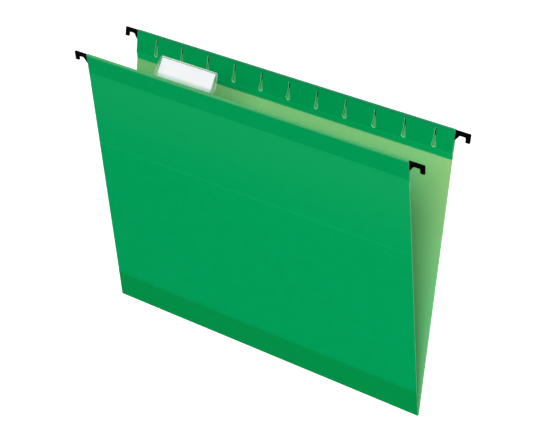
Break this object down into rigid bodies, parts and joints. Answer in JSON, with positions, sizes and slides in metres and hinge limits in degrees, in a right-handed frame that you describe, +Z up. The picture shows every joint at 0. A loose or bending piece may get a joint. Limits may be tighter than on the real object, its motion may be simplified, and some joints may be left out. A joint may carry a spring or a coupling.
{
  "type": "hanging file folder",
  "caption": "Card sheet folded into a V pocket, each top edge rolled over a steel rod with plastic hooks for file rails, and a clear label tab in a slotted hem.",
  "frame": {"origin": "midway between the four hook seats, where the folder hangs on its rails", "axes": "+Z up, +X along the rods to the right as seen from the front, +Y from the front panel to the rear panel"},
  "size_m": [0.3238, 0.0634, 0.2466],
  "materials": {
    "card": "smooth green card, lighter green inside",
    "film": "thin green reinforcing film",
    "rod": "dark coated steel strip",
    "hook": "black moulded nylon",
    "tab": "clear folded sheet",
    "insert": "plain white label card"
  },
  "bodies": {
    "rear": {"rear_panel": "card", "rear_rod": "rod", "rear_left_hook": "hook", "rear_right_hook": "hook", "rear_top_strip": "film", "rear_bottom_strip": "film", "bottom_fold": "card"},
    "front": {"front_panel": "card", "front_rod": "rod", "front_left_hook": "hook", "front_right_hook": "hook", "front_top_strip": "film", "front_bottom_strip": "film"},
    "tab": {"tab_holder": "tab"},
    "insert": {"tab_insert": "insert"}
  },
  "joints": [
    {"name": "fold", "type": "hinge", "parent": "rear", "child": "front", "pos_m": [0, 0, -0.228], "axis": [1, 0, 0], "range_deg": [-14.1, 164.8], "deforming": ["bottom_fold"]},
    {"name": "tab_lift", "type": "slide", "parent": "front", "child": "tab", "axis": [0, -0.1317, 0.9913], "range_m": [0, 0.0036]},
    {"name": "insert_slide", "type": "slide", "parent": "tab", "child": "insert", "axis": [1, 0, 0], "range_m": [0, 0.056]}
  ]
}
